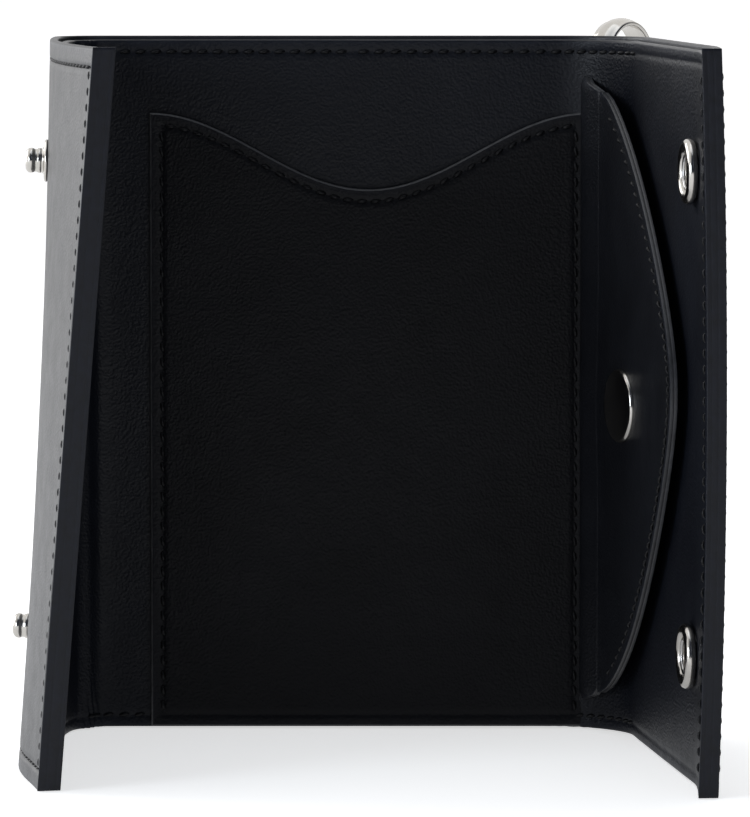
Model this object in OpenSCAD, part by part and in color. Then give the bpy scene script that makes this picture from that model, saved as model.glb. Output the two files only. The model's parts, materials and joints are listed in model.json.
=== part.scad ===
// Trifold chain wallet, standing half open on its bottom edges.
// X runs right, -Y towards the inside of the wallet and +Z up. The origin is the middle of the
// back panel's bottom edge. All sizes are millimetres.

/* [Panels] */
// Height of the outer leather
wallet_h = 110; // [100:1:125]
// How far the linings stop short of the outer leather's top edge
lining_drop = 0.6; // [0.2:0.1:2]
// Thickness of the outer leather
shell_t = 1.2; // [0.8:0.1:1.3]
// Left end of the flat part of the back panel
back_left = -40; // [-44:0.5:-38]
// Right end of the flat part of the back panel
back_right = 32.2; // [30:0.1:36]

/* [Left flap] */
// Length of the left flap from its fold to its free edge
left_len = 66.6; // [60:0.1:67]
// Inward lean of the left flap's chord, degrees
left_lean = 4.2; // [0:0.1:8]
// How far the left flap bows outward at mid length
left_bow = 2.7; // [0:0.1:4]
// Whole thickness of the left flap
left_t = 3.5; // [3.4:0.1:4]
// Outer radius of the left fold
left_fold_r = 7; // [6:0.5:8]

/* [Right flap] */
// Length of the right flap from its fold to its free edge
right_len = 67.2; // [60:0.1:72]
// Outward splay of the right flap, degrees
right_splay = 7.6; // [4:0.1:12]
// Whole thickness of the right flap
right_t = 3.0; // [2.9:0.1:3.6]
// Outer radius of the right fold
right_fold_r = 15; // [13:0.5:16]

/* [Snaps] */
// Heights of the two closing snaps
snap_z = [19.2, 91.4];
// Distance of the studs from the left fold
stud_s = 21.2; // [19:0.1:24]
// Distance of the sockets from the right fold
socket_s = 52; // [48:0.1:56]
// Outer diameter of a socket ring
socket_d = 9.8; // [9:0.1:11]
// How far a socket ring stands proud of the lining
socket_h = 1.9; // [1.5:0.1:2.1]
// Diameter of a stud's ball head
stud_head_d = 3.9; // [3.4:0.1:4.2]
// How far a stud stands proud of the outer leather
stud_h = 3.4; // [3:0.1:3.6]
// Radius of the snaps' hollow posts
post_r = 1.6; // [1.4:0.1:1.8]
// Diameter of the domed caps
cap_d = 11.8; // [11:0.1:12.5]
// Height of the domed caps on the outside
cap_h = 1.2; // [1:0.1:2.1]

/* [Card pocket] */
// Left and right edges of the card pocket
pocket_x = [-32, 37.2];
// Height of the pocket's two top corners
pocket_top = 97.9; // [90:0.1:100]
// Depth of the thumb dip in the pocket's top edge
pocket_dip = 12.1; // [8:0.1:15]

/* [Coin flap] */
// Distance of the coin flap's rounded tip in front of the back panel
coin_reach = 60.5; // [50:0.5:62]
// Lowest and highest point of the coin flap
coin_z = [4.2, 103.8];
// Height of the coin flap's rounded tip
coin_tip_z = 57.8; // [50:0.1:62]
// Height of the coin flap's snap
coin_snap_z = 53; // [48:0.1:58]
// Distance of the coin flap's snap in front of the back panel
coin_snap_depth = 21; // [19:0.1:24]
// Height of the coin flap's domed cap
coin_cap_h = 2.0; // [1.4:0.1:2.1]

/* [Chain ring] */
// Outer diameter of the ring
ring_d = 14.8; // [13:0.1:16]
// Radial thickness of the ring's band
ring_t = 1.2; // [1:0.1:1.6]
// Width of the ring's band
ring_w = 4.2; // [3.6:0.1:4.4]
// Height of the ring's centre
ring_z = 105.2; // [102:0.1:107]
// Turn of the ring away from facing the inside, degrees
ring_yaw = 55; // [40:1:70]
// Width of the keeper strap
keeper_w = 6; // [4:0.1:6.4]

/* [Hidden] */
$fn = 64;

LEATHER = "#17181c";
LINING = "#1d1e22";
NICKEL = "#c9c8c2";

half_t = shell_t / 2;
lining_h = wallet_h - lining_drop;
divider_h = wallet_h - 12;
pouch_h = lining_h - 6;
gap = 0.05;
steps = 12;

// Layers of the back panel, as distances in front of its middle plane
divider_y = [half_t + 0.1, half_t + 0.4];
lining_y = [1.3, 2.3];
pocket_y = [2.35, 3.4];

// Distances from the left fold at which the left flap's inner layers begin
left_lining_s = 3;
left_rear_s = 9;
left_front_s = 17;

// Layers of the left flap, as depths below its outer face
left_rivet_o = shell_t + gap;
left_lining_o = [shell_t + 0.55, shell_t + 1.4];
left_rear_o = [left_lining_o[1] + gap, left_lining_o[1] + 0.45];
left_front_o = [left_rear_o[1] + gap, left_t];

// Distances from the right fold at which the right flap's inner layers begin
right_lining_s = 5.4;
right_pouch_s = 7;

// Layers of the right flap, as depths below its outer face
right_pouch_o = [shell_t + gap, right_t - 1.15];
right_lining_o = [right_t - 1.1, right_t];

// Frames of the two flaps: the outer face's start, the way along it and the way inward
left_fold_c = [back_left, half_t - left_fold_r];
left_arc = 90 - atan(4 * left_bow / left_len) + left_lean;
left_start = left_fold_c + left_fold_r * [-sin(left_arc), cos(left_arc)];
left_dir = [sin(left_lean), -cos(left_lean)];
left_in = [cos(left_lean), sin(left_lean)];
right_fold_c = [back_right, half_t - right_fold_r];
right_arc = 90 - right_splay;
right_start = right_fold_c + right_fold_r * [sin(right_arc), cos(right_arc)];
right_dir = [sin(right_splay), -cos(right_splay)];
right_in = [-cos(right_splay), -sin(right_splay)];

// Depths at which the coin flap's sewn root and the flap proper begin and the root ends
coin_root_d = [3, 10.6];
coin_flap_d = 11.4;
coin_flap_t = 1.4;
coin_skin_t = 0.8;
coin_post_r = 1.2;

// Keeper strap and chain ring
ring_mean_r = (ring_d - ring_t) / 2;
keeper_c = [39, 4.5];
keeper_t = 1.1;
keeper_r = 2.6;
rivet_x = 26;
keeper_tail_x = rivet_x - 1;
ring_c = keeper_c + ring_mean_r * [cos(ring_yaw), sin(ring_yaw)];

function bow(s) = 4 * left_bow * (s / left_len) * (1 - s / left_len);
function left_slope(s) = atan(4 * left_bow / left_len * (1 - 2 * s / left_len));
function left_turn(s) = left_lean - left_slope(s);
function left_at(s, o) =
  left_start + s * left_dir - bow(s) * left_in + o * [cos(left_turn(s)), sin(left_turn(s))];
function right_at(s, o) = right_start + s * right_dir + o * right_in;
function lerp(a, b, t) = a + (b - a) * t;

// Coin flap in plan: its visible face stands off the right lining by this much at a depth d
function coin_off(d) = 1.8 + 3.47 * exp(-d / 19.8);
function right_s(d) = (-d - right_start[1]) / right_dir[1];
function coin_at(d, o) = right_at(right_s(d), right_t) + [o - coin_off(d), 0];

// Upper and lower outline of the coin flap at a depth d: fuller below the tip than above it
function coin_taper(t, p, q) = pow(max(0, 1 - pow(t, p)), q);
function coin_top(d, margin) =
  lerp(coin_tip_z, coin_z[1] - margin, coin_taper(d / (coin_reach - margin), 1.15, 0.75));
function coin_low(d, margin) =
  lerp(coin_tip_z, coin_z[0] + margin, coin_taper(d / (coin_reach - margin), 1.5, 0.85));

module left_strip(s0, s1, o0, o1, h) {
  linear_extrude(h)
    polygon(concat(
      [for (i = [0:steps]) left_at(lerp(s0, s1, i / steps), o0)],
      [for (i = [steps:-1:0]) left_at(lerp(s0, s1, i / steps), o1)]
    ));
}

module right_strip(s0, s1, o0, o1, h) {
  linear_extrude(h)
    polygon([right_at(s0, o0), right_at(s1, o0), right_at(s1, o1), right_at(s0, o1)]);
}

// Places children with +Z pointing out of the left flap's outer face at a stud
module at_stud(z) {
  p = left_at(stud_s, 0);
  translate([p[0], p[1], z])
    rotate([0, -90, left_turn(stud_s)])
      children();
}

// Places children with +Z pointing out of the right flap's inner face
module at_right_inner(s, o, z) {
  p = right_at(s, o);
  translate([p[0], p[1], z])
    rotate([0, -90, right_splay])
      children();
}

module at_coin_snap(o) {
  p = coin_at(coin_snap_depth, o);
  lean = atan((coin_at(coin_snap_depth - 1, 0)[0] - coin_at(coin_snap_depth + 1, 0)[0]) / 2);
  translate([p[0], p[1], coin_snap_z])
    rotate([0, -90, -lean])
      children();
}

module fold(c, r, from, to) {
  translate([c[0], c[1], 0])
    rotate([0, 0, min(from, to)])
      rotate_extrude(angle = abs(to - from), $fn = 128)
        translate([r - shell_t, 0])
          square([shell_t, wallet_h]);
}

module slab(x0, x1, y, h) {
  translate([x0, -y[1], 0])
    cube([x1 - x0, y[1] - y[0], h]);
}

module shell_centre() {
  color(LEATHER)
    difference() {
      slab(back_left, back_right, [-half_t, half_t], wallet_h);
      translate([rivet_x, 0, ring_z])
        rotate([90, 0, 0])
          cylinder(r = post_r, h = 2 * shell_t, center = true);
    }
}

module bill_divider() {
  color(LINING)
    slab(back_left + 2, back_right - 2, divider_y, divider_h);
}

module lining_centre() {
  color(LINING)
    slab(back_left, back_right + 2.3, lining_y, lining_h);
}

// The pocket's top edge falls in one smooth wave to the thumb dip in its middle
function pocket_edge(t) = pocket_top - pocket_dip * pow(sin(180 * t), 2);

module card_pocket() {
  waves = 28;
  color(LEATHER)
    translate([0, -pocket_y[0], 0])
      rotate([90, 0, 0])
        linear_extrude(pocket_y[1] - pocket_y[0])
          polygon(concat(
            [[pocket_x[1], 0.3], [pocket_x[0], 0.3]],
            [for (i = [0:waves]) [lerp(pocket_x[0], pocket_x[1], i / waves), pocket_edge(i / waves)]]
          ));
}

module fold_left() {
  color(LEATHER)
    fold(left_fold_c, left_fold_r, 90, 90 + left_arc);
}

module fold_right() {
  color(LEATHER)
    fold(right_fold_c, right_fold_r, 90 - right_arc, 90);
}

module shell_left() {
  color(LEATHER)
    difference() {
      left_strip(0, left_len, 0, shell_t, wallet_h);
      for (z = snap_z)
        at_stud(z)
          cylinder(r = post_r, h = 4 * shell_t, center = true);
    }
}

module lining_left() {
  color(LINING)
    left_strip(left_lining_s, left_len, left_lining_o[0], left_lining_o[1], lining_h);
}

module card_slot_rear() {
  color(LINING)
    left_strip(left_rear_s, left_len, left_rear_o[0], left_rear_o[1], lining_h - 1);
}

module card_slot_front() {
  color(LINING)
    left_strip(left_front_s, left_len, left_front_o[0], left_front_o[1], lining_h - 1);
}

// Male half of a snap: flange, waist and ball head, with a hollow post through the leather
module stud(z) {
  head_r = stud_head_d / 2;
  color(NICKEL)
    at_stud(z) {
      translate([0, 0, gap])
        rotate_extrude()
          union() {
            square([3.3, 0.45]);
            square([2.1, 1.0]);
            square([1.4, stud_h - head_r]);
            translate([0, stud_h - head_r])
              intersection() {
                circle(head_r);
                translate([0, -head_r])
                  square([head_r, 2 * head_r]);
              }
          }
      translate([0, 0, -shell_t])
        cylinder(r = post_r, h = shell_t + 2 * gap);
    }
}

// Rivet flange that clinches a stud's post behind the leather
module stud_rivet(z) {
  color(NICKEL)
    at_stud(z)
      translate([0, 0, -left_rivet_o - 0.4])
        cylinder(r = 2.6, h = 0.4);
}

module shell_right() {
  color(LEATHER)
    difference() {
      right_strip(0, right_len, 0, shell_t, wallet_h);
      post_holes(post_r);
    }
}

module coin_pouch() {
  color(LINING)
    difference() {
      right_strip(right_pouch_s, right_len - 4, right_pouch_o[0], right_pouch_o[1], pouch_h);
      post_holes(post_r + 0.3);
      coin_post_hole(3.4);
    }
}

module lining_right() {
  color(LINING)
    difference() {
      right_strip(right_lining_s, right_len, right_lining_o[0], right_lining_o[1], lining_h);
      post_holes(post_r);
      coin_post_hole(1);
    }
}

module post_holes(r) {
  for (z = snap_z)
    at_right_inner(socket_s, right_t / 2, z)
      cylinder(r = r, h = 2 * right_t, center = true);
}

module coin_post_hole(r) {
  at_right_inner(right_s(coin_snap_depth), right_t / 2, coin_snap_z)
    cylinder(r = r, h = 2 * right_t, center = true);
}

// Domed cap on the outer face with its post through the whole flap
module cap(z) {
  color(NICKEL)
    at_right_inner(socket_s, 0, z) {
      mirror([0, 0, 1])
        translate([0, 0, gap])
          dome(cap_h);
      translate([0, 0, -gap])
        cylinder(r = post_r, h = right_t + gap);
    }
}

module dome(h) {
  round_r = (cap_d * cap_d / 4 + h * h) / (2 * h);
  intersection() {
    translate([0, 0, h - round_r])
      sphere(round_r, $fn = 200);
    cylinder(d = cap_d, h = h + 1);
  }
}

// Female half of a snap: a rolled ring on a washer
module socket(z) {
  roll_r = (socket_h - 0.1) / 2;
  color(NICKEL)
    at_right_inner(socket_s, right_t, z)
      translate([0, 0, gap])
        rotate_extrude()
          union() {
            translate([socket_d / 2 - roll_r, roll_r + 0.05])
              circle(roll_r);
            translate([post_r, 0])
              square([socket_d / 2 - roll_r - post_r, 0.35]);
          }
}

// Split ring spring inside the socket that grips the stud
module socket_spring(z) {
  wire_r = 0.35;
  color(NICKEL)
    at_right_inner(socket_s, right_t, z)
      translate([0, 0, 1.15])
        rotate([0, 0, 20])
          rotate_extrude(angle = 320)
            translate([2.65, 0])
              circle(wire_r, $fn = 24);
}

module coin_stud() {
  color(NICKEL)
    at_right_inner(right_s(coin_snap_depth), right_t, coin_snap_z) {
      translate([0, 0, gap])
        rotate_extrude()
          union() {
            square([1.0, 0.6]);
            square([1.9, 0.25]);
          }
      translate([0, 0, -1.05])
        cylinder(r = 1, h = 1.2);
    }
}

module coin_stud_rivet() {
  color(NICKEL)
    at_right_inner(right_s(coin_snap_depth), right_lining_o[0] - gap, coin_snap_z)
      translate([0, 0, -0.4])
        cylinder(r = 2.4, h = 0.4);
}

// Upright leaf with the coin flap's rounded outline, between two depths and two offsets
module coin_leaf(d0, d1, o0, o1, margin) {
  intersection() {
    linear_extrude(wallet_h)
      polygon(concat(
        [for (i = [0:steps]) coin_at(lerp(d0, d1, i / steps), o0)],
        [for (i = [steps:-1:0]) coin_at(lerp(d0, d1, i / steps), o1)]
      ));
    translate([100, 0, 0])
      rotate([90, 0, -90])
        linear_extrude(200)
          polygon(concat(
            [for (i = [0:2 * steps]) coin_outline(d0, d1, i / (2 * steps), margin, true)],
            [for (i = [2 * steps:-1:0]) coin_outline(d0, d1, i / (2 * steps), margin, false)]
          ));
  }
}

function coin_outline(d0, d1, t, margin, top) =
  let (d = lerp(d0, d1, 1 - pow(1 - t, 2)))
    [d, top ? coin_top(d, margin) : coin_low(d, margin)];

module coin_flap_root() {
  color(LEATHER)
    coin_leaf(coin_root_d[0], coin_root_d[1], 0, coin_flap_t, 0);
}

module coin_flap() {
  color(LEATHER)
    difference() {
      coin_leaf(coin_flap_d, coin_reach, 0, coin_skin_t, 0);
      at_coin_snap(0)
        cylinder(r = coin_post_r, h = 8, center = true);
    }
}

module coin_flap_lining() {
  color(LINING)
    difference() {
      coin_leaf(coin_flap_d, coin_reach, coin_skin_t + gap, coin_flap_t, 0.2);
      at_coin_snap(0)
        cylinder(r = coin_post_r, h = 8, center = true);
    }
}

module coin_cap() {
  color(NICKEL)
    at_coin_snap(0) {
      translate([0, 0, 0.1])
        dome(coin_cap_h);
      translate([0, 0, -coin_flap_t])
        cylinder(r = coin_post_r, h = coin_flap_t + 0.2);
    }
}

module coin_socket() {
  color(NICKEL)
    at_coin_snap(1.5)
      translate([0, 0, -0.5])
        difference() {
          cylinder(r = 3.6, h = 0.5);
          translate([0, 0, -1])
            cylinder(r = 2.4, h = 1.2);
        }
}

// Folded leather strap whose loop holds the ring's band
module keeper_strap() {
  color(LEATHER)
    translate([0, 0, ring_z - keeper_w / 2])
      difference() {
        union() {
          translate([keeper_tail_x, half_t + gap, 0])
            cube([keeper_c[0] - keeper_tail_x, 2 * keeper_t, keeper_w]);
          translate([keeper_tail_x, half_t + gap, keeper_w / 2])
            rotate([-90, 0, 0])
              cylinder(r = keeper_w / 2, h = 2 * keeper_t);
          translate([keeper_c[0], keeper_c[1], 0])
            cylinder(r = keeper_r + keeper_t, h = keeper_w);
        }
        translate([keeper_c[0], keeper_c[1], -1])
          cylinder(r = keeper_r, h = keeper_w + 2);
        translate([rivet_x, half_t, keeper_w / 2])
          rotate([-90, 0, 0])
            cylinder(r = post_r + gap, h = 4);
      }
}

module keeper_rivet() {
  color(NICKEL)
    translate([rivet_x, half_t + 2 * keeper_t + 2 * gap, ring_z])
      rotate([-90, 0, 0]) {
        intersection() {
          translate([0, 0, -2.6])
            sphere(3.6);
          cylinder(r = 2.6, h = 1.2);
        }
        translate([0, 0, -2 * keeper_t - shell_t - 2 * gap])
          cylinder(r = post_r, h = 2 * keeper_t + shell_t + 2 * gap);
      }
}

module keeper_rivet_burr() {
  color(NICKEL)
    translate([rivet_x, -half_t - 0.02, ring_z])
      rotate([90, 0, 0])
        cylinder(r = 2.6, h = 0.5);
}

module chain_ring() {
  color(NICKEL)
    translate([ring_c[0], ring_c[1], ring_z])
      rotate([90, 0, ring_yaw])
        translate([0, 0, -ring_w / 2])
          rotate_extrude($fn = 96)
            translate([ring_d / 2 - ring_t, 0])
              square([ring_t, ring_w]);
}

shell_centre();
bill_divider();
lining_centre();
card_pocket();
coin_flap_root();
keeper_rivet();
keeper_rivet_burr();
fold_left();
shell_left();
lining_left();
card_slot_rear();
card_slot_front();
stud(snap_z[1]);  // stud_upper
stud(snap_z[0]);  // stud_lower
stud_rivet(snap_z[1]);  // stud_rivet_upper
stud_rivet(snap_z[0]);  // stud_rivet_lower
fold_right();
shell_right();
coin_pouch();
lining_right();
cap(snap_z[1]);  // cap_upper
cap(snap_z[0]);  // cap_lower
socket(snap_z[1]);  // socket_upper
socket(snap_z[0]);  // socket_lower
socket_spring(snap_z[1]);  // socket_spring_upper
socket_spring(snap_z[0]);  // socket_spring_lower
coin_stud();
coin_stud_rivet();
coin_flap();
coin_flap_lining();
coin_cap();
coin_socket();
keeper_strap();
chain_ring();
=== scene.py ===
"""Trifold chain wallet: leather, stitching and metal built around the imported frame."""

import bisect
import json
import math
import random

import bmesh
import bpy
from mathutils import Matrix, Vector, noise


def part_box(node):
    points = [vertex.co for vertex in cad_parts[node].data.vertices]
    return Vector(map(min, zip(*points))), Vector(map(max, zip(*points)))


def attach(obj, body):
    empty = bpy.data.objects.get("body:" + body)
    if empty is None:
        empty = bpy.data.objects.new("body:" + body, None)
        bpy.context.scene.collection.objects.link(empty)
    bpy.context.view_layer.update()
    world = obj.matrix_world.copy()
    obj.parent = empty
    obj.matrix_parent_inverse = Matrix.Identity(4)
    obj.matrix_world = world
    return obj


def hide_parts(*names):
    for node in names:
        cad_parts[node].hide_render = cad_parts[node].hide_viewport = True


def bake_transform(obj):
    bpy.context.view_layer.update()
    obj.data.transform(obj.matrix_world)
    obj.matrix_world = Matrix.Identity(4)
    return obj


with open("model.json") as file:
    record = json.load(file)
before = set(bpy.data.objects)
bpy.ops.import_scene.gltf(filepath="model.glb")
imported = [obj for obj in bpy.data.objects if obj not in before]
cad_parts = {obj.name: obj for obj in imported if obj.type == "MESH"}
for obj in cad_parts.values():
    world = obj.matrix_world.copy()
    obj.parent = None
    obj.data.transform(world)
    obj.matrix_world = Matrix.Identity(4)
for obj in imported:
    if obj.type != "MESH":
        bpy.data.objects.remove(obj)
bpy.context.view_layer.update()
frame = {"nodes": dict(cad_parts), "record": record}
MM = 0.001
random.seed(11)


# ---------------------------------------------------------------- sizes, in millimetres

def box_mm(node):
    low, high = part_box(node)
    return low / MM, high / MM


def half(side, flat, radius, lean, bow, length):
    """One half of the wallet: flat, rolled through its fold, then leaning and bowed along the flap."""
    lean = math.radians(lean)
    turn = math.pi / 2 - math.atan(4 * bow / length) + lean
    fold_end = flat + radius * turn
    return {"side": side, "flat": flat, "radius": radius, "lean": lean, "bow": bow, "length": length,
            "arc": turn, "fold_end": fold_end, "end": fold_end + length}


# Shell and flaps
BACK_LOW, BACK_HIGH = box_mm("shell_centre")
HEIGHT = BACK_HIGH.z
BACK_Y = BACK_HIGH.y
SHELL_T = BACK_HIGH.y - BACK_LOW.y
LEFT = half(-1, -BACK_LOW.x, radius=7.0, lean=4.2, bow=2.7, length=66.6)
RIGHT = half(1, BACK_HIGH.x, radius=15.0, lean=-7.6, bow=0.0, length=67.2)
LEFT_T, RIGHT_T = 3.5, 3.0
TWIST_LOW, TWIST_HIGH = -4.3, 4.35
BULGE = 1.5
RIGHT_BOW, RIGHT_CURL = 1.0, 1.9
FREE_INSET = 1.3
BAND_OUT, BAND_IN = 0.05, 0.25

# Lining: offsets are depths below the outer face.
LINING_TOP = box_mm("lining_centre")[1].z
LINING_LOW = 0.15
LINING_O = (1.9, 2.9)
LINING_SETTLE = 6.0
SLOT_LEAVES = {"card_slot_rear": (9, (2.8, 3.1)), "card_slot_front": (17, (3.15, LEFT_T))}
SLOT_SEAM = (17, 64.5)
POUCH_O = (1.3, 1.8)

# Card pocket
POCKET_LOW, POCKET_HIGH = box_mm("card_pocket")
POCKET_DIP = 12.1
POCKET_SWELL = 0.45

# Coin flap: d is a depth in front of the back panel's middle plane.
COIN_REACH = -box_mm("coin_flap")[0].y
COIN_LOW_END, COIN_HIGH_END = 4.2, 104.8
COIN_TIP_Z = 57.8
COIN_TIP_ROUND = 0.09
COIN_ROOT_D = 2.4
COIN_JOIN_D = 8.0
COIN_FOLD_D = (9.4, 12.6)
COIN_SEAM_D = 15.0
COIN_LAYERS = {"leather": (0, 0.5), "lining": (0.56, 1.06)}
COIN_SNAP_D, COIN_SNAP_Z = 21.0, 53.0
COIN_SNAP_TILT, COIN_SNAP_SPREAD = 0.17, 6.5
COIN_LIFT = 0.9
ROOT_CURL, CURL_D, CURL_SPREAD = 2.2, 3.9, 1.5

# Stitches, creases and rounded edges
PITCH = 2.35
STITCH_SLANT, SLANT_SPREAD = 9, 2
STITCH_INSET = 1.9
CHANNEL_WIDTH = 0.42
GROOVE_INSET = 3.0
# Width of the paler rim by cut edges: worn leather, and also a painted highlight of edges catching light.
WORN_RIM_AND_HIGHLIGHT_WIDTH = 0.8
SHARP_ANGLE = math.radians(60)

# Where the studs sit on the left flap, along it and in height
STUD_S = 21.2
STUD_Z = {"stud_lower": 19.2, "stud_upper": 91.4}

# Stretches of the leather at the flaps' joints, in metres; nothing in this script uses them to bend it
BEND_Z = 0.05
LEFT_BEND = {"start": (-0.0400, 0.0006, BEND_Z), "end": (-0.0470, -0.0058, BEND_Z)}
RIGHT_BEND = {"start": (0.0322, 0.0006, BEND_Z), "end": (0.0471, -0.0124, BEND_Z)}


def lerp(a, b, t):
    return a + (b - a) * t


def clamp(t):
    return max(0.0, min(1.0, t))


def smooth(t):
    t = clamp(t)
    return t * t * (3 - 2 * t)


def crease(distance, at, width, depth):
    """Depth of a soft crease that runs at a distance from an edge."""
    return depth * math.exp(-(((distance - at) / width) ** 2))


# ---------------------------------------------------------------- surfaces of the real leather

def outer_path(flap, s):
    """Point and inward direction in plan. s runs along the outer leather from the middle of the back."""
    side, r = flap["side"], flap["radius"]
    centre = Vector((side * flap["flat"], BACK_Y - r))
    if s <= flap["flat"]:
        return Vector((side * s, BACK_Y)), Vector((0, -1))
    turn = min((s - flap["flat"]) / r, flap["arc"])
    out = Vector((side * math.sin(turn), math.cos(turn)))
    if s <= flap["fold_end"]:
        return centre + r * out, -out
    along = s - flap["fold_end"]
    t = along / flap["length"]
    lean = flap["lean"]
    chord = Vector((-side * math.sin(lean), -math.cos(lean)))
    inward = Vector((-side * math.cos(lean), math.sin(lean)))
    tangent = lean - math.atan(4 * flap["bow"] / flap["length"] * (1 - 2 * t))
    normal = Vector((-side * math.cos(tangent), math.sin(tangent)))
    return centre + r * out + along * chord - 4 * flap["bow"] * t * (1 - t) * inward, normal


def left_at(s, o, z):
    """Left half of the wallet: o is the depth below the outer face. The flap twists inward at its top."""
    p, n = outer_path(LEFT, s)
    t = clamp((s - LEFT["fold_end"]) / LEFT["length"])
    h = clamp(z / HEIGHT)
    shift = lerp(TWIST_LOW, TWIST_HIGH, h) * t
    shift -= BULGE * (1 - h) ** 2 * math.sin(math.pi * t ** 1.3) ** 2
    return Vector((p.x + n.x * o + shift, p.y + n.y * o, z))


def right_at(s, o, z):
    """Right half of the wallet. Its free edge curls in, least at mid height."""
    p, n = outer_path(RIGHT, s)
    t = clamp((s - RIGHT["fold_end"]) / RIGHT["length"])
    h = clamp(z / HEIGHT)
    shift = (RIGHT_BOW * 4 * h * (1 - h) - RIGHT_CURL) * clamp((t - 0.8) / 0.2) ** 1.3
    return Vector((p.x + n.x * o + shift, p.y + n.y * o, z))


def back_at(x, o, z):
    """Flat parts on the back panel: o is the distance in front of its middle plane."""
    return Vector((x, -o, z))


def coin_at(d, o, z):
    """Coin flap at a depth d in front of the back panel: o is the depth below its visible face.
    Its snap pulls the leather askew."""
    p, n = outer_path(RIGHT, RIGHT["fold_end"] + 1e-6)
    lean = RIGHT["lean"]
    along = (-d - p.y) / -math.cos(lean)
    x = p.x - math.sin(lean) * along - math.cos(lean) * RIGHT_T
    y = -d + math.sin(lean) * RIGHT_T
    stand_off = 1.8 + 3.47 * math.exp(-d / 19.8) + COIN_LIFT * smooth(d / COIN_REACH)
    spread = CURL_SPREAD if d < CURL_D else 2.4 * CURL_SPREAD
    stand_off += ROOT_CURL * math.exp(-((d - CURL_D) / spread) ** 2)
    from_snap = (d - COIN_SNAP_D) ** 2 + (z - COIN_SNAP_Z) ** 2
    stand_off -= COIN_SNAP_TILT * (d - COIN_SNAP_D) * math.exp(-from_snap / (2 * COIN_SNAP_SPREAD ** 2))
    return Vector((x + o - stand_off, y, z))


def coin_edge(z):
    """How far the coin flap reaches forward at a height z."""
    end, p, q = (COIN_HIGH_END, 1.15, 0.75) if z > COIN_TIP_Z else (COIN_LOW_END, 1.5, 0.85)
    f = clamp((z - COIN_TIP_Z) / (end - COIN_TIP_Z))
    f = (math.hypot(f, COIN_TIP_ROUND) - COIN_TIP_ROUND) / (math.hypot(1, COIN_TIP_ROUND) - COIN_TIP_ROUND)
    return COIN_REACH * (1 - f ** (1 / q)) ** (1 / p)


def pocket_top(x):
    t = (x - POCKET_LOW.x) / (POCKET_HIGH.x - POCKET_LOW.x)
    return POCKET_HIGH.z - POCKET_DIP * math.sin(math.pi * t) ** 2


# ---------------------------------------------------------------- mesh builders

NEAR = (0.5, 1.0, 1.4, 1.7, 1.95, 2.2, 2.6, 3.0, 3.4, 4.2)


def stops(a, b, step, near=NEAR):
    """Positions from a to b, closer together beside both ends."""
    first, last = a + near[-1], b - near[-1]
    count = max(1, round((last - first) / step))
    middle = [lerp(first, last, i / count) for i in range(count + 1)]
    return [a] + [a + d for d in near[:-1]] + middle + [b - d for d in reversed(near[:-1])] + [b]


def finish_mesh(bm, name, materials):
    """Turns a bmesh in millimetres into a smooth object in metres."""
    bmesh.ops.recalc_face_normals(bm, faces=bm.faces)
    bmesh.ops.scale(bm, vec=(MM, MM, MM), verts=bm.verts)
    mesh = bpy.data.meshes.new(name)
    bm.to_mesh(mesh)
    bm.free()
    mesh.polygons.foreach_set("use_smooth", [True] * len(mesh.polygons))
    for m in materials:
        mesh.materials.append(m)
    obj = bpy.data.objects.new(name, mesh)
    bpy.context.scene.collection.objects.link(obj)
    return obj


def rim_steps(nu, nv):
    """Steps along the four borders of an nu by nv grid, each with the name of its border."""
    rim = [((i, 0), (i + 1, 0), "low") for i in range(nu - 1)]
    rim += [((i, nv - 1), (i + 1, nv - 1), "high") for i in range(nu - 1)]
    rim += [((0, j), (0, j + 1), "start") for j in range(nv - 1)]
    rim += [((nu - 1, j), (nu - 1, j + 1), "end") for j in range(nv - 1)]
    return rim


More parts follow.
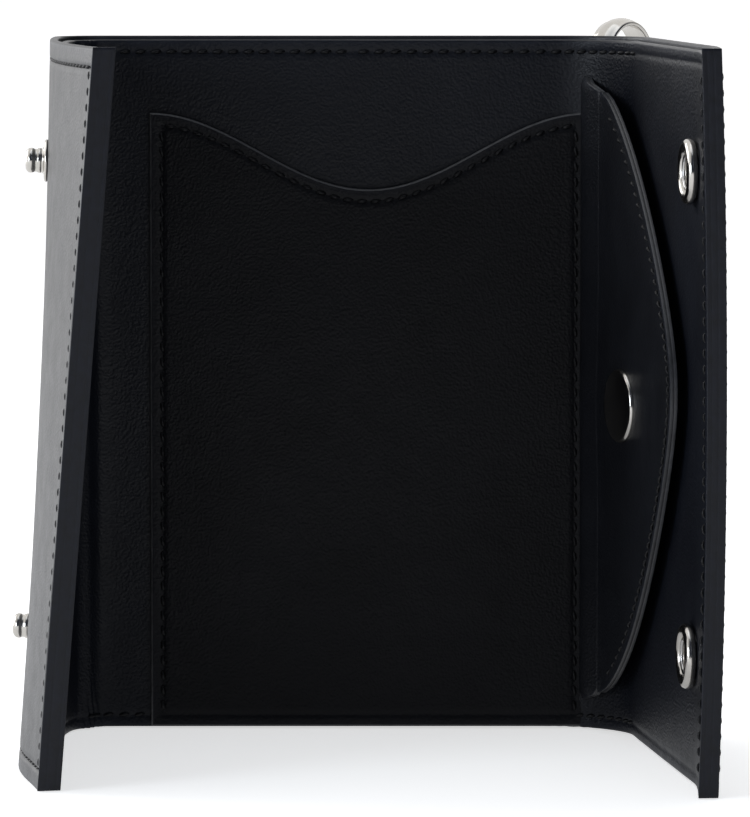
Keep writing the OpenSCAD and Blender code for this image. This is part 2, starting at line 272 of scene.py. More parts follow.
def sheet(name, place, us, v_low, v_high, offsets, materials, step=1.6, sink=None, sink_back=None,
          round_r=0.28, plain=(), border=None):
    """A leather sheet over a grid of u and v. place(u, o, v) gives the point at a depth o.
    sink and sink_back press the front and back faces in. Borders named in plain stay square, for a joint,
    and get no paler rim of worn leather and painted edge highlight. border(u, v) is the distance from the
    nearest cut edge, where the grid doesn't tell it.
    The last material covers the cut edges."""
    low = v_low if callable(v_low) else lambda u: v_low
    high = v_high if callable(v_high) else lambda u: v_high
    top = max(high(u) - low(u) for u in us)
    if top > 2.2 * NEAR[-1]:
        fractions = [v / top for v in stops(0, top, step)]
    else:
        fractions = [i / 12 for i in range(13)]
    edge_material = len(materials) - 1
    bm = bmesh.new()
    # How near each vertex is to a cut edge. It drives a paler rim that is partly worn leather and partly a
    # painted highlight of the edge catching light.
    worn_rim_and_highlight = bm.verts.layers.float.new("worn_rim_and_highlight")
    grids = []
    for face_index, o in enumerate(offsets):
        press = (sink, sink_back)[face_index]
        grid = []
        for u in us:
            row = []
            for f in fractions:
                v = lerp(low(u), high(u), f)
                gaps = {"start": u - us[0], "end": us[-1] - u, "low": v - low(u), "high": high(u) - v}
                edge = border(u, v) if border else min(gaps[side] for side in gaps if side not in plain)
                extra = press(u, v, edge) if press else 0
                vert = bm.verts.new(place(u, o + (extra if face_index == 0 else -extra), v))
                vert[worn_rim_and_highlight] = math.exp(-max(edge, 0) / WORN_RIM_AND_HIGHLIGHT_WIDTH)
                row.append(vert)
            grid.append(row)
        grids.append(grid)
    front, back = grids
    nu, nv = len(us), len(fractions)
    for i in range(nu - 1):
        for j in range(nv - 1):
            bm.faces.new((front[i][j], front[i + 1][j], front[i + 1][j + 1], front[i][j + 1]))
            bm.faces.new((back[i][j], back[i][j + 1], back[i + 1][j + 1], back[i + 1][j]))
    rounded = []
    for (i, j), (k, m), side in rim_steps(nu, nv):
        face = bm.faces.new((front[i][j], front[k][m], back[k][m], back[i][j]))
        face.material_index = edge_material
        if side not in plain:
            rounded.append(bm.edges.get((front[i][j], front[k][m])))
            rounded.append(bm.edges.get((back[i][j], back[k][m])))
    bmesh.ops.recalc_face_normals(bm, faces=bm.faces)
    bmesh.ops.bevel(bm, geom=rounded, offset=round_r, segments=2, profile=0.5, affect="EDGES",
                    clamp_overlap=True, material=edge_material)
    for edge in bm.edges:
        edge.smooth = edge.calc_face_angle(0) < SHARP_ANGLE
    return finish_mesh(bm, name, materials)


def lathe(name, profile, at, axis, material, segments=48):
    """Turned metal: profile is (radius, height) points from the axis outward and back."""
    bm = bmesh.new()
    verts = [bm.verts.new((r, 0, h)) for r, h in profile]
    edges = [bm.edges.new(pair) for pair in zip(verts, verts[1:])]
    bmesh.ops.spin(bm, geom=verts + edges, cent=(0, 0, 0), axis=(0, 0, 1), dvec=(0, 0, 0),
                   angle=math.tau, steps=segments)
    bmesh.ops.remove_doubles(bm, verts=bm.verts, dist=1e-4)
    turn = Vector((0, 0, 1)).rotation_difference(axis).to_matrix().to_4x4()
    bmesh.ops.transform(bm, matrix=Matrix.Translation(at) @ turn, verts=bm.verts)
    return finish_mesh(bm, name, [material])


def arc(r, h, radius, start, end, count=8):
    """Points of a turned profile round (r, h), by angle from the axis in degrees."""
    angles = [math.radians(lerp(start, end, i / count)) for i in range(count + 1)]
    return [(r + radius * math.sin(a), h + radius * math.cos(a)) for a in angles]


def surface_frame(place, u, o, v, outward):
    """Point and outward normal of a placed surface. outward is 1 on its front face and -1 on its back."""
    p = place(u, o, v)
    du = place(u + 0.05, o, v) - place(u - 0.05, o, v)
    dv = place(u, o, v + 0.05) - place(u, o, v - 0.05)
    n = du.cross(dv).normalized()
    away = place(u, o - outward, v) - p
    return p, (n if n.dot(away) > 0 else -n)


def add_stitch(bm, p, along, normal, length, radius):
    """One short bulging length of thread whose ends dive into the leather."""
    sides, rings = 6, 5
    across = normal.cross(along).normalized()
    loops = []
    for k in range(rings):
        a = lerp(-1, 1, k / (rings - 1))
        r = radius * (1 - 0.55 * a ** 4)
        c = p + along * (a * length / 2) + normal * (radius * (0.55 - 1.15 * a * a))
        ring = []
        for m in range(sides):
            turn = math.tau * m / sides
            ring.append(bm.verts.new(c + r * (math.cos(turn) * across + math.sin(turn) * normal)))
        loops.append(ring)
    for first, second in zip(loops, loops[1:]):
        for m in range(sides):
            bm.faces.new((first[m], first[(m + 1) % sides], second[(m + 1) % sides], second[m]))
    bm.faces.new(loops[0])
    bm.faces.new(list(reversed(loops[-1])))


def stitch_rows(name, place, rows, o, outward, radius=0.27, share=0.72):
    """Stitches along rows. Each row is a function of 0 to 1 that gives (u, v) on the surface, and share
    is a stitch's part of the pitch."""
    bm = bmesh.new()
    for row in rows:
        points = [place(u, o, v) for u, v in (row(i / 200) for i in range(201))]
        length = sum((b - a).length for a, b in zip(points, points[1:]))
        count = max(1, round(length / PITCH))
        for i in range(count):
            t = (i + 0.5) / count
            u, v = row(t)
            p, normal = surface_frame(place, u, o, v, outward)
            (u1, v1), (u0, v0) = row(t + 0.002), row(t - 0.002)
            along = (place(u1, o, v1) - place(u0, o, v0)).normalized()
            angle = STITCH_SLANT + random.uniform(-SLANT_SPREAD, SLANT_SPREAD)
            slant = Matrix.Rotation(math.radians(angle), 3, normal)
            add_stitch(bm, p, slant @ along, normal, share * PITCH, radius)
    return finish_mesh(bm, name, [thread])


def line(u0, v0, u1, v1):
    return lambda t: (lerp(u0, u1, t), lerp(v0, v1, t))


# ---------------------------------------------------------------- materials

def new_material(name):
    material = bpy.data.materials.new(name)
    material.use_nodes = True
    nodes, links = material.node_tree.nodes, material.node_tree.links
    return material, nodes, links, nodes["Principled BSDF"]


def noise_node(nodes, links, coords, scale, detail=3.0, rough=0.55):
    node = nodes.new("ShaderNodeTexNoise")
    node.inputs["Scale"].default_value = scale
    node.inputs["Detail"].default_value = detail
    node.inputs["Roughness"].default_value = rough
    links.new(coords.outputs["Object"], node.inputs["Vector"])
    return node


def ramp_node(nodes, links, source, low, high, at=(0.3, 0.7)):
    """Colour ramp between two colours."""
    node = nodes.new("ShaderNodeValToRGB")
    node.color_ramp.elements[0].position, node.color_ramp.elements[1].position = at
    node.color_ramp.elements[0].color = (*low, 1)
    node.color_ramp.elements[1].color = (*high, 1)
    links.new(source, node.inputs["Fac"])
    return node


def range_node(nodes, links, source, low, high, start=0.0):
    node = nodes.new("ShaderNodeMapRange")
    node.inputs["From Min"].default_value = start
    node.inputs["To Min"].default_value = low
    node.inputs["To Max"].default_value = high
    links.new(source, node.inputs["Value"])
    return node


def bump_node(nodes, links, height, strength, distance, below=None):
    node = nodes.new("ShaderNodeBump")
    node.inputs["Strength"].default_value = strength
    node.inputs["Distance"].default_value = distance
    links.new(height, node.inputs["Height"])
    if below:
        links.new(below.outputs["Normal"], node.inputs["Normal"])
    return node


def leather(name, dark, light, rough, grain=0.35, specular=0.5):
    """Smooth leather: pebble grain, faint blotches, and a paler rim by cut edges that is worn leather and
    also a painted highlight of edges catching light.
    """
    material, nodes, links, shader = new_material(name)
    coords = nodes.new("ShaderNodeTexCoord")
    blotch = noise_node(nodes, links, coords, 55)
    tone = ramp_node(nodes, links, blotch.outputs["Fac"], dark, light)
    # Paler colour near cut edges: worn leather, and also a painted highlight where edges catch light.
    worn_rim_and_highlight = nodes.new("ShaderNodeAttribute")
    worn_rim_and_highlight.attribute_name = "worn_rim_and_highlight"
    fine = noise_node(nodes, links, coords, 240, 6)
    worn_rim_and_highlight_mask = nodes.new("ShaderNodeMath")
    worn_rim_and_highlight_mask.operation = "MULTIPLY"
    links.new(worn_rim_and_highlight.outputs["Fac"], worn_rim_and_highlight_mask.inputs[0])
    links.new(fine.outputs["Fac"], worn_rim_and_highlight_mask.inputs[1])
    mix = nodes.new("ShaderNodeMix")
    mix.data_type = "RGBA"
    links.new(worn_rim_and_highlight_mask.outputs[0], mix.inputs["Factor"])
    links.new(tone.outputs["Color"], mix.inputs["A"])
    mix.inputs["B"].default_value = (*(3.2 * c + 0.006 for c in light), 1)
    links.new(mix.outputs["Result"], shader.inputs["Base Color"])
    roughness = range_node(nodes, links, fine.outputs["Fac"], rough - 0.10, rough + 0.10)
    links.new(roughness.outputs["Result"], shader.inputs["Roughness"])
    pebble = nodes.new("ShaderNodeTexVoronoi")
    pebble.feature = "SMOOTH_F1"
    pebble.inputs["Scale"].default_value = 2600
    links.new(coords.outputs["Object"], pebble.inputs["Vector"])
    coarse = bump_node(nodes, links, pebble.outputs["Distance"], grain, 0.00015)
    wrinkle = noise_node(nodes, links, coords, 620, 4)
    soft = bump_node(nodes, links, wrinkle.outputs["Fac"], grain * 0.5, 0.00015, coarse)
    links.new(soft.outputs["Normal"], shader.inputs["Normal"])
    shader.inputs["Specular IOR Level"].default_value = specular
    return material


def burnished(name, colour, rough=0.34, specular=0.22):
    """Painted and burnished cut edge: fibres run along it under a waxy skin."""
    material, nodes, links, shader = new_material(name)
    coords = nodes.new("ShaderNodeTexCoord")
    fibre = noise_node(nodes, links, coords, 700, 5, 0.7)
    tone = ramp_node(nodes, links, fibre.outputs["Fac"], [0.6 * c for c in colour], [1.5 * c for c in colour])
    links.new(tone.outputs["Color"], shader.inputs["Base Color"])
    roughness = range_node(nodes, links, fibre.outputs["Fac"], rough, rough + 0.2)
    links.new(roughness.outputs["Result"], shader.inputs["Roughness"])
    bump = bump_node(nodes, links, fibre.outputs["Fac"], 0.3, 0.00015)
    links.new(bump.outputs["Normal"], shader.inputs["Normal"])
    shader.inputs["Specular IOR Level"].default_value = specular
    return material


def metal(name, colour, rough):
    """Polished plate with hairline scratches and slightly duller patches."""
    material, nodes, links, shader = new_material(name)
    coords = nodes.new("ShaderNodeTexCoord")
    patch = noise_node(nodes, links, coords, 350, 4)
    tone = ramp_node(nodes, links, patch.outputs["Fac"], [0.88 * c for c in colour], colour)
    links.new(tone.outputs["Color"], shader.inputs["Base Color"])
    roughness = range_node(nodes, links, patch.outputs["Fac"], rough, rough + 0.12)
    links.new(roughness.outputs["Result"], shader.inputs["Roughness"])
    scratch = noise_node(nodes, links, coords, 2600, 2)
    bump = bump_node(nodes, links, scratch.outputs["Fac"], 0.06, 0.00005)
    links.new(bump.outputs["Normal"], shader.inputs["Normal"])
    shader.inputs["Metallic"].default_value = 1.0
    return material


def woven(name, colour):
    """Plain weave for the hidden pocket cloth."""
    material, nodes, links, shader = new_material(name)
    coords = nodes.new("ShaderNodeTexCoord")
    waves = []
    for direction in ("Z", "X"):
        wave = nodes.new("ShaderNodeTexWave")
        wave.bands_direction = direction
        wave.inputs["Scale"].default_value = 700
        wave.inputs["Distortion"].default_value = 0.6
        links.new(coords.outputs["Object"], wave.inputs["Vector"])
        waves.append(wave)
    cross = nodes.new("ShaderNodeMath")
    cross.operation = "MULTIPLY"
    links.new(waves[0].outputs["Fac"], cross.inputs[0])
    links.new(waves[1].outputs["Fac"], cross.inputs[1])
    tone = ramp_node(nodes, links, cross.outputs[0], [0.5 * c for c in colour], [1.4 * c for c in colour])
    links.new(tone.outputs["Color"], shader.inputs["Base Color"])
    bump = bump_node(nodes, links, cross.outputs[0], 0.5, 0.0002)
    links.new(bump.outputs["Normal"], shader.inputs["Normal"])
    shader.inputs["Roughness"].default_value = 0.85
    shader.inputs["Sheen Weight"].default_value = 0.15
    return material


outer = leather("outer_leather", (0.0070, 0.0078, 0.0105), (0.013, 0.0142, 0.019), 0.40, 0.4)
inner = leather("lining_leather", (0.0028, 0.0036, 0.0066), (0.0056, 0.0070, 0.0114), 0.43, 0.5, 0.22)
pocket_skin = leather("pocket_leather", (0.0026, 0.0028, 0.0040), (0.0052, 0.0055, 0.0074), 0.44, 0.5, 0.15)
edge_paint = burnished("burnished_edge", (0.0050, 0.0063, 0.0110), 0.28, 0.32)
coin_skin = leather("coin_leather", (0.0042, 0.0048, 0.0070), (0.0084, 0.0094, 0.0128), 0.43, 0.5, 0.32)
# These two edge greys are far lighter than the painted edges: partly the raw leather core, partly a painted
# highlight of edges catching light from above.
cut_edge_with_highlight = burnished("cut_edge_with_highlight", (0.058, 0.059, 0.062), 0.35, 0.5)
raw_edge_with_highlight = burnished("raw_edge_with_highlight", (0.030, 0.031, 0.035), 0.30, 0.5)
thread = burnished("waxed_thread", (0.006, 0.0062, 0.0072))
nickel = metal("nickel_plate", (0.64, 0.615, 0.575), 0.10)
spring = metal("spring_wire", (0.56, 0.55, 0.54), 0.18)
cloth = woven("pocket_cloth", (0.010, 0.010, 0.012))


# ---------------------------------------------------------------- outer leather

def outer_sink(flap):
    """Creased line round the edge and the slight hollows of handled leather."""
    def press(u, v, edge):
        hollow = 0.10 * noise.noise(Vector((flap["side"] * u / 26, v / 30, 3.1)))
        return hollow + crease(min(v, HEIGHT - v), GROOVE_INSET, 0.24, 0.50)
    return press


def path_stops(flap):
    """Positions along a half of the wallet, close together round the fold and beside the free edge."""
    step, fold_end = 1.7, flap["fold_end"]
    flat = [u for u in (step * i for i in range(40)) if u < flap["flat"] - 2.6]
    fold = [lerp(flap["flat"] - 2, fold_end + 2, i / 26) for i in range(27)]
    rest = stops(fold_end + 3, flap["end"], step)
    return flat + fold + [rest[0]] + [u for u in rest[1:] if u - fold_end > 3.4]


outer_left = sheet("outer_leather_left", left_at, path_stops(LEFT), 0, HEIGHT, (0, SHELL_T),
                   [outer, edge_paint], sink=outer_sink(LEFT), plain=("start",))
outer_right = sheet("outer_leather_right", right_at, path_stops(RIGHT), 0, HEIGHT, (0, SHELL_T),
                    [outer, edge_paint], sink=outer_sink(RIGHT), plain=("start",))
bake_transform(outer_left)
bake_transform(outer_right)
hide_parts("shell_left", "fold_left", "shell_centre")
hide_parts("shell_right", "fold_right")

# ---------------------------------------------------------------- linings

def lining_depth(flap, u):
    """The lining cuts the corner inside a fold, so it lies deeper there."""
    t = (u - flap["flat"] + 3) / (flap["fold_end"] - flap["flat"] + 6)
    return (1.6 if flap is LEFT else 0.5) * math.sin(math.pi * clamp(t)) ** 2


def left_lining_at(u, o, v):
    t = smooth((u - LEFT["fold_end"]) / LINING_SETTLE)
    return left_at(u, o + lining_depth(LEFT, u) - 0.15 * t, v)


def right_lining_at(u, o, v):
    t = smooth((u - RIGHT["fold_end"]) / LINING_SETTLE)
    return right_at(u, o + lining_depth(RIGHT, u) + 0.1 * t, v)


def gather(flap, u, v):
    """Fine gathers where the lining bunches inside a fold at its two ends."""
    across = math.exp(-(((u - flap["flat"] - 4) / 4.5) ** 2))
    ends = math.exp(-v / 4.0) + 0.35 * math.exp(-(LINING_TOP - v) / 3.0)
    ripple = math.sin(2.6 * u - 0.9 * v + 1.3 * noise.noise(Vector((u / 3, v / 4, 0))))
    return 0.30 * across * ends * ripple


def lining_sink(flap):
    """Stitched channel beside the sewn edges, soft hollows, and the gathers."""
    def press(u, v, edge):
        from_edge = min(flap["end"] - u, v, LINING_TOP - v)
        soft = 0.12 * noise.noise(Vector((flap["side"] * u / 20, v / 24, 7.7)))
        return soft + crease(from_edge, STITCH_INSET, 0.40, 0.16) + gather(flap, u, v)
    return press


lining_left = sheet("lining_left_half", left_lining_at, path_stops(LEFT), LINING_LOW, LINING_TOP, LINING_O,
                    [inner, edge_paint], sink_back=lining_sink(LEFT), plain=("start",))
lining_right = sheet("lining_right_half", right_lining_at, path_stops(RIGHT), LINING_LOW, LINING_TOP,
                     LINING_O, [inner, edge_paint], sink_back=lining_sink(RIGHT), plain=("start",))
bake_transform(lining_left)
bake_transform(lining_right)
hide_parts("lining_left", "lining_centre")
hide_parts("lining_right")

ROW_START = 0.5
ROW_TOP, ROW_LOW = LINING_TOP - STITCH_INSET, STITCH_INSET + 0.2
ROW_FREE = RIGHT["end"] - STITCH_INSET - 1
left_rows = [line(ROW_START, ROW_TOP, LEFT["flat"] + 2, ROW_TOP),
             line(ROW_START, ROW_LOW, LEFT["flat"] + 5, ROW_LOW)]
right_rows = [line(ROW_START, ROW_TOP, RIGHT["fold_end"], ROW_TOP),
              line(ROW_START, ROW_LOW, RIGHT["fold_end"], ROW_LOW),
              line(ROW_FREE, 3, ROW_FREE, LINING_TOP - 3)]
seam_left = stitch_rows("stitches_lining_left", left_lining_at, left_rows, LINING_O[1], -1)
seam_right = stitch_rows("stitches_lining_right", right_lining_at, right_rows, LINING_O[1], -1)
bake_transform(seam_left)
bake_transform(seam_right)

# ---------------------------------------------------------------- outer stitches, painted crease shade and painted edges

HALVES = {
    "left": (left_at, LEFT, "left_flap", LEFT_BEND),
    "right": (right_at, RIGHT, "right_flap", RIGHT_BEND),
}
GROOVE_ZS = (GROOVE_INSET, HEIGHT - GROOVE_INSET)
for word, (place, flap, body, bend) in HALVES.items():
    free_s = flap["end"] - FREE_INSET
    rows = {
        "free": ([line(free_s, GROOVE_ZS[0], free_s, GROOVE_ZS[1])], 0.12, 0.72),
        # This row lays near-unbroken dark thread along the creased lines at top and bottom: stitching, and
        # also painted shade of the crease.
        "groove_shade": ([line(ROW_START, z, flap["end"] - 2.4, z) for z in GROOVE_ZS], 0.34, 0.95),
    }
    for kind, (paths, depth, share) in rows.items():
        row = stitch_rows("stitches_%s_%s" % (kind, word), place, paths, depth, 1, 0.2, share)
        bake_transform(row)


def layer_joins(thickness):
    """Depths at which the glued layers of a flap meet."""
    return 1.25, thickness - 0.75


def layer_marks(thickness):
    """Faint lines where the layers meet in a painted edge."""
    def press(u, v, edge):
        return sum(crease(u, join, 0.12, -0.07) for join in layer_joins(thickness))
    return press


def band_stops(thickness):
    """Positions across a painted edge, close together beside the joins."""
    near_joins = [join + step for join in layer_joins(thickness) for step in (-0.26, -0.12, 0, 0.12, 0.26)]
    return [0.0, 0.4, 0.8] + near_joins + [thickness - 0.3, thickness]


def band_offsets(flap):
    return flap["end"] + BAND_OUT, flap["end"] - BAND_IN


edge_left = sheet("edge_band_left", lambda u, o, v: left_at(o, u, v), band_stops(LEFT_T), 0, HEIGHT,
                  band_offsets(LEFT), [edge_paint], sink=layer_marks(LEFT_T), round_r=0.1)
edge_right = sheet("edge_band_right", lambda u, o, v: right_at(o, u, v), band_stops(RIGHT_T), 0, HEIGHT,
                   band_offsets(RIGHT), [edge_paint], sink=layer_marks(RIGHT_T), round_r=0.1)
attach(edge_left, "left_flap")
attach(edge_right, "right_flap")

# ---------------------------------------------------------------- card slots inside the left flap

def slot_at(u, o, v):
    return left_at(LEFT["fold_end"] + u, o, v)


for name, (start, offsets) in SLOT_LEAVES.items():
    us = stops(start, LEFT["length"] - 0.3, 1.8)
    piece = sheet(name + "_leather", slot_at, us, 0.4, LINING_TOP - 1, offsets, [inner, edge_paint],
                  sink_back=lambda u, v, edge: crease(edge, STITCH_INSET, 0.4, 0.08), round_r=0.1)
    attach(piece, "left_flap")
    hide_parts(name)
slot_free = LEFT["length"] - 2.2
slot_rows = [line(SLOT_SEAM[0], 2.2, SLOT_SEAM[1], 2.2),
             line(SLOT_SEAM[0], LINING_TOP - 3, SLOT_SEAM[1], LINING_TOP - 3),
             line(slot_free, 3, slot_free, LINING_TOP - 4)]
slot_seam = stitch_rows("stitches_card_slots", slot_at, slot_rows, LEFT_T, -1, 0.22)
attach(slot_seam, "left_flap")

# ---------------------------------------------------------------- card pocket

def pocket_sink(u, v, edge):
    """Stitched channel beside each sewn edge, and a face that swells a little over the cards."""
    x = (u - POCKET_LOW.x) / (POCKET_HIGH.x - POCKET_LOW.x)
    z = clamp(v / pocket_top(u))
    swell = POCKET_SWELL * math.sin(math.pi * x) ** 0.6 * math.sin(math.pi * z) ** 0.6
    channel = crease(edge, STITCH_INSET, CHANNEL_WIDTH, 0.2)
    return channel - swell + 0.10 * noise.noise(Vector((u / 17, v / 21, 1.7)))


pocket = sheet("card_pocket_leather", back_at, stops(POCKET_LOW.x, POCKET_HIGH.x, 1.3), 0.3, pocket_top,
               (-POCKET_HIGH.y, -POCKET_LOW.y), [pocket_skin, cut_edge_with_highlight], step=1.5, sink_back=pocket_sink)
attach(pocket, "centre")
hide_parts("card_pocket")


def pocket_top_row(t):
    x = lerp(POCKET_LOW.x + 2.2, POCKET_HIGH.x - 2.2, t)
    return x, pocket_top(x) - STITCH_INSET


pocket_sides = (POCKET_LOW.x + STITCH_INSET, POCKET_HIGH.x - STITCH_INSET)
pocket_rows = [line(x, 2.5, x, POCKET_HIGH.z - 2.6) for x in pocket_sides] + [pocket_top_row]
pocket_seam = stitch_rows("stitches_card_pocket", back_at, pocket_rows, -POCKET_LOW.y - 0.02, -1)
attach(pocket_seam, "centre")

# ---------------------------------------------------------------- coin flap

def coin_place(z, o, d):
    return coin_at(d, o, z)


def coin_sink(u, v, edge):
    """Stitched channel that follows the rounded edge."""
    from_edge = (coin_edge(u) - v) * 0.85
    return crease(from_edge, STITCH_INSET, CHANNEL_WIDTH, 0.14)


def coin_stops(reach, step):
    """Heights over which the coin flap reaches further than the given depth."""
    heights = [lerp(COIN_LOW_END, COIN_HIGH_END, i / 400) for i in range(401)]
    wide = [z for z in heights if coin_edge(z) > reach]
    count = round((wide[-1] - wide[0]) / step)
    return [lerp(wide[0], wide[-1], i / count) for i in range(count + 1)]


def coin_border(z, d):
    return coin_edge(z) - d


def coin_root_reach(z):
    return min(coin_edge(z), COIN_JOIN_D)


COIN_FOLD = [tuple(MM * coin_at(d, COIN_LAYERS["leather"][1], COIN_TIP_Z)) for d in COIN_FOLD_D]
for layer, offsets in COIN_LAYERS.items():
    root = sheet("coin_root_" + layer, coin_place, coin_stops(COIN_ROOT_D + 0.15, 1.2), COIN_ROOT_D,
                 coin_root_reach, offsets, [coin_skin, raw_edge_with_highlight], step=1.0, round_r=0.1, border=coin_border)
    main = sheet("coin_leaf_" + layer, coin_place, coin_stops(COIN_JOIN_D + 0.3, 1.1), COIN_JOIN_D, coin_edge,
                 offsets, [coin_skin, raw_edge_with_highlight], step=1.2, sink=coin_sink if layer == "leather" else None,
                 plain=("low",), round_r=0.12, border=coin_border)
    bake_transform(root)
    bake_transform(main)
    if layer == "leather":
        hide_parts("coin_flap_root")
        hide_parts("coin_flap")
    else:
        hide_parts("coin_flap_lining")
COIN_SEAM_ZS = coin_stops(COIN_SEAM_D, 1.0)


def coin_row(t):
    z = lerp(COIN_SEAM_ZS[0], COIN_SEAM_ZS[-1], clamp(t))
    slope = abs(coin_edge(z + 0.5) - coin_edge(z - 0.5))
    return z, coin_edge(z) - STITCH_INSET * math.sqrt(1 + slope * slope)


coin_seam = stitch_rows("stitches_coin_flap", coin_place, [coin_row], 0.02, 1)
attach(coin_seam, "coin_flap")

# ---------------------------------------------------------------- pocket cloth

divider_low, divider_high = box_mm("bill_divider")
divider = sheet("bill_divider_cloth", back_at, stops(divider_low.x, divider_high.x, 3), 0.4, divider_high.z,
                (-divider_high.y, -divider_low.y), [cloth], step=3, round_r=0.08)
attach(divider, "centre")
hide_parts("bill_divider")
pouch = sheet("coin_pouch_cloth", lambda u, o, v: right_at(RIGHT["fold_end"] + u, o, v),
              stops(7, RIGHT["length"] - 4, 3), 0.5, box_mm("coin_pouch")[1].z, POUCH_O, [cloth],
              step=3, round_r=0.1)
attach(pouch, "right_flap")
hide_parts("coin_pouch")

# ---------------------------------------------------------------- metal

# The stud's profile: a rounded head, a waist, and a flange on the leather.
STUD_PROFILE = [(0, 3.4), *arc(1.05, 2.5, 0.9, 0, 128), *arc(1.25, 1.2, 0.7, 50, 120, 5), (2.15, 0.62),
                *arc(3.0, 0.22, 0.3, 0, 180, 5), (0, -0.1)]
for name, z in STUD_Z.items():
    at, normal = surface_frame(left_at, LEFT["fold_end"] + STUD_S, 0, z, 1)
    stud = lathe(name + "_turned", STUD_PROFILE, at, normal, nickel)
    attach(stud, "left_flap")
    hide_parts(name)

# The coin flap's cap: a shallow dome with a rolled rim that reaches into the leather.
CAP_PROFILE = [(0, 1.32), (2.0, 1.29), (3.6, 1.18), (4.7, 1.0), *arc(5.2, 0.35, 0.6, 20, 90, 5), (5.8, -0.4),
               (0, -0.4)]
cap_at, cap_normal = surface_frame(coin_place, COIN_SNAP_Z, 0, COIN_SNAP_D, 1)
coin_cap = lathe("coin_cap_turned", CAP_PROFILE, cap_at, cap_normal, nickel, 64)
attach(coin_cap, "coin_flap")
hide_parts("coin_cap")

RING_IN, RING_OUT, RING_HALF = 6.2, 7.4, 2.1
RING_CORNER = 0.3
RING_CROWN = 0.5


def ring_profile():
    """Section of the ring: a flat bore, four rounded corners and a crowned outside."""
    r = RING_CORNER
    rim_r, high = RING_OUT - RING_CROWN, RING_HALF - r
    crown = [(lerp(RING_OUT, rim_r, (k / 4) ** 2), RING_HALF * 0.84 * k / 4) for k in range(4, -5, -1)]
    section = [*arc(rim_r - r, high, r, 0, 70, 4), *crown, *arc(rim_r - r, -high, r, 110, 180, 4),
               *arc(RING_IN + r, -high, r, 180, 270, 4), *arc(RING_IN + r, high, r, 270, 360, 4)]
    return section + section[:1]


ring_mount = next(m for m in frame["record"]["mounts"] if m["name"] == "chain_ring_opening")
ring = lathe("chain_ring_band", ring_profile(), Vector(ring_mount["pos_m"]) / MM, Vector(ring_mount["axis"]),
             nickel, 96)
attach(ring, "ring")
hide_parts("chain_ring")

METAL_NODES = {
    nickel: ("cap_upper", "cap_lower", "socket_upper", "socket_lower", "coin_socket", "coin_stud",
             "coin_stud_rivet", "stud_rivet_upper", "stud_rivet_lower", "keeper_rivet", "keeper_rivet_burr"),
    spring: ("socket_spring_upper", "socket_spring_lower"),
}
for material, names in METAL_NODES.items():
    for name in names:
        node = frame["nodes"][name]
        node.data.materials.clear()
        node.data.materials.append(material)

# ---------------------------------------------------------------- keeper strap

# One strap, folded round the ring, with both tails under the rivet.
STRAP_T = 1.1
STRAP_LOW, STRAP_HIGH = box_mm("keeper_strap")
STRAP_HALF = (STRAP_HIGH.z - STRAP_LOW.z) / 2
STRAP_Z = (STRAP_HIGH.z + STRAP_LOW.z) / 2
LOOP_R = 3.7
LOOP_X, LOOP_Y = STRAP_HIGH.x - LOOP_R, STRAP_HIGH.y - LOOP_R
BACK_LEG_Y = STRAP_LOW.y + 2 * STRAP_T
LOOP_LEAVE = math.radians(142)


def strap_route():
    """Outer face of the strap in plan: out along the back panel, round the loop and back to the tail."""
    turns = [lerp(-math.pi / 2, LOOP_LEAVE, i / 24) for i in range(25)]
    out = [Vector((lerp(STRAP_LOW.x, LOOP_X - 1, i / 20), STRAP_LOW.y)) for i in range(21)]
    loop = [Vector((LOOP_X + LOOP_R * math.cos(a), LOOP_Y + LOOP_R * math.sin(a))) for a in turns]
    back = [Vector((lerp(LOOP_X - 6, STRAP_LOW.x, i / 14), BACK_LEG_Y)) for i in range(15)]
    return out + loop + back


ROUTE = strap_route()
ROUTE_S = [0.0]
for first, second in zip(ROUTE, ROUTE[1:]):
    ROUTE_S.append(ROUTE_S[-1] + (second - first).length)
STRAP_LENGTH = ROUTE_S[-1]


def route_point(s):
    s = max(0.0, min(STRAP_LENGTH, s))
    i = min(bisect.bisect_right(ROUTE_S, s), len(ROUTE) - 1)
    return ROUTE[i - 1].lerp(ROUTE[i], (s - ROUTE_S[i - 1]) / (ROUTE_S[i] - ROUTE_S[i - 1]))


def strap_at(u, o, v):
    """Keeper strap: u along its outer face, o the depth below that face, v the height off its middle line."""
    ahead = route_point(u + 0.4) - route_point(u - 0.4)
    inward = Vector((-ahead.y, ahead.x)).normalized()
    p = route_point(u)
    return Vector((p.x + inward.x * o, p.y + inward.y * o, STRAP_Z + v))


def strap_half(u):
    """Half the strap's width, rounded off at both tails."""
    t = clamp(min(u, STRAP_LENGTH - u) / STRAP_HALF)
    return STRAP_HALF * math.sqrt(max(0.02, 1 - (1 - t) ** 2))


STRAP_NEAR = (0.2, 0.5, 0.9, 1.4, 2.0, 2.6, 3.2)
strap = sheet("keeper_strap_leather", strap_at, stops(0, STRAP_LENGTH, 0.7, STRAP_NEAR),
              lambda u: -strap_half(u), strap_half, (0, STRAP_T - 0.02), [outer, edge_paint], round_r=0.15)
strap_rows = [line(STRAP_LENGTH - 10, v, STRAP_LENGTH - 2.5, v) for v in (-2.0, 2.0)]
strap_seam = stitch_rows("stitches_keeper_strap", strap_at, strap_rows, 0.0, 1, 0.22)
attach(strap, "keeper")
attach(strap_seam, "keeper")
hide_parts("keeper_strap")

# ---------------------------------------------------------------- floor, light and camera

def camera_only(nodes, links, seen, unseen, output):
    """Shows one shader to the camera and another to everything else."""
    path = nodes.new("ShaderNodeLightPath")
    mix = nodes.new("ShaderNodeMixShader")
    links.new(path.outputs["Is Camera Ray"], mix.inputs[0])
    links.new(unseen.outputs[0], mix.inputs[1])
    links.new(seen.outputs[0], mix.inputs[2])
    links.new(mix.outputs[0], output.inputs["Surface"])


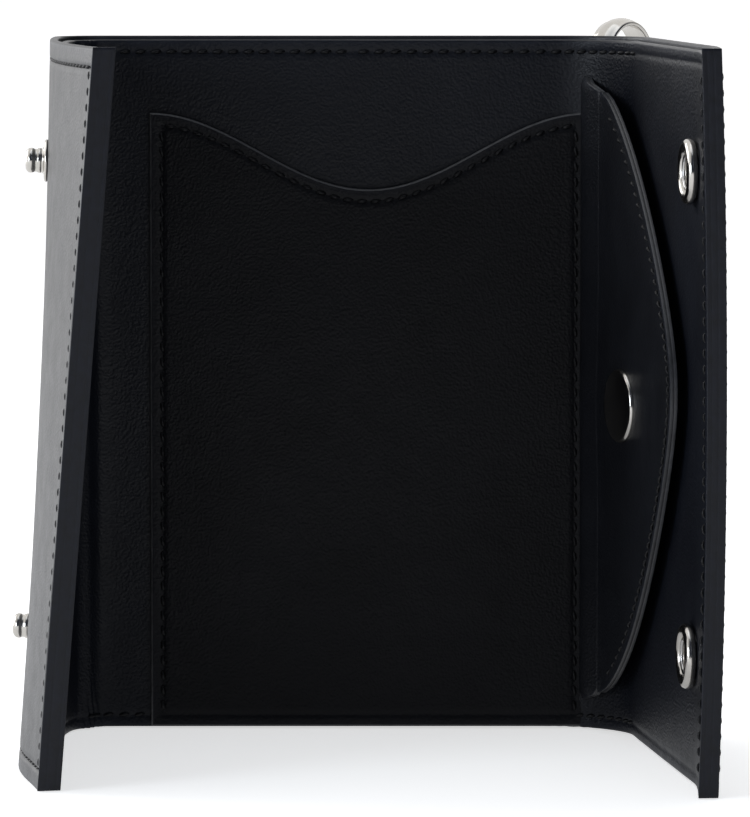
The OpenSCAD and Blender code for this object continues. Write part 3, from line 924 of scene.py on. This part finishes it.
FLOOR_SIDE, FLOOR_FRONT, FLOOR_BACK = 30, -8, 40
FLOOR_GLOW_SEEN, FLOOR_GLOW_UNSEEN = 0.62, 0.30
corners = [(-FLOOR_SIDE, FLOOR_FRONT, 0), (FLOOR_SIDE, FLOOR_FRONT, 0),
           (FLOOR_SIDE, FLOOR_BACK, 0), (-FLOOR_SIDE, FLOOR_BACK, 0)]
floor_mesh = bpy.data.meshes.new("floor")
floor_mesh.from_pydata(corners, [], [(0, 1, 2, 3)])
floor = bpy.data.objects.new("floor", floor_mesh)
bpy.context.scene.collection.objects.link(floor)
floor.location.z = -0.0001
paint, nodes, links, shader = new_material("floor_paint")
shader.inputs["Base Color"].default_value = (0.85, 0.85, 0.85, 1)
shader.inputs["Roughness"].default_value = 0.9
shader.inputs["Specular IOR Level"].default_value = 0.1
lit = []
for strength in (FLOOR_GLOW_SEEN, FLOOR_GLOW_UNSEEN):
    glow = nodes.new("ShaderNodeEmission")
    glow.inputs["Strength"].default_value = strength
    both = nodes.new("ShaderNodeAddShader")
    links.new(shader.outputs[0], both.inputs[0])
    links.new(glow.outputs[0], both.inputs[1])
    lit.append(both)
camera_only(nodes, links, *lit, nodes["Material Output"])
floor_mesh.materials.append(paint)

# The room seen in reflections: dark in front and on the right, white behind and on the left.
world = bpy.data.worlds.new("studio")
bpy.context.scene.world = world
world.use_nodes = True
nodes, links = world.node_tree.nodes, world.node_tree.links
nodes.clear()
coords = nodes.new("ShaderNodeTexCoord")
split = nodes.new("ShaderNodeSeparateXYZ")
links.new(coords.outputs["Generated"], split.inputs[0])
from_right = nodes.new("ShaderNodeMath")
from_right.operation = "MULTIPLY_ADD"
from_right.inputs[1].default_value = -0.7
links.new(split.outputs["X"], from_right.inputs[0])
links.new(split.outputs["Y"], from_right.inputs[2])
towards_back = range_node(nodes, links, from_right.outputs[0], 0, 1, start=-0.4)
rise = ramp_node(nodes, links, towards_back.outputs["Result"], (0.028, 0.033, 0.048), (0.95, 0.95, 0.95),
                 (0.0, 0.55))
room = nodes.new("ShaderNodeBackground")
links.new(rise.outputs["Color"], room.inputs["Color"])
paper = nodes.new("ShaderNodeBackground")
paper.inputs["Color"].default_value = (0.98, 0.98, 0.98, 1)
camera_only(nodes, links, paper, room, nodes.new("ShaderNodeOutputWorld"))

CENTRE = Vector((0, -0.03, 0.055))
WHITE, COOL = (1, 1, 1), (0.84, 0.91, 1)
# Place in metres, size, power and tint
LAMPS = {
    "left_softbox": ((-0.9, 0.5, 0.35), 0.9, 5.6, WHITE),
    "side_strip": ((-0.95, -0.72, 0.30), 0.45, 4.6, COOL),
    "top_softbox": ((0.1, -0.1, 1.1), 0.9, 1.6, COOL),
    "front_fill": ((0.5, -1.4, 0.8), 0.8, 0.6, COOL),
}
for name, (where, size, power, tint) in LAMPS.items():
    lamp = bpy.data.lights.new(name, "AREA")
    lamp.color = tint
    lamp.size = size
    lamp.energy = power
    obj = bpy.data.objects.new(name, lamp)
    obj.location = where
    obj.rotation_euler = (CENTRE - Vector(where)).to_track_quat("-Z", "Y").to_euler()
    bpy.context.scene.collection.objects.link(obj)

camera_data = bpy.data.cameras.new("camera")
camera_data.sensor_width = 36
camera_data.lens = 271.1
camera_data.clip_end = 100
camera = bpy.data.objects.new("camera", camera_data)
camera.location = (0.0036, -0.975, 0.133)
camera.rotation_euler = (math.radians(90 - 4.82), 0, 0)
bpy.context.scene.collection.objects.link(camera)
bpy.context.scene.camera = camera
bpy.context.scene.view_settings.view_transform = "Standard"
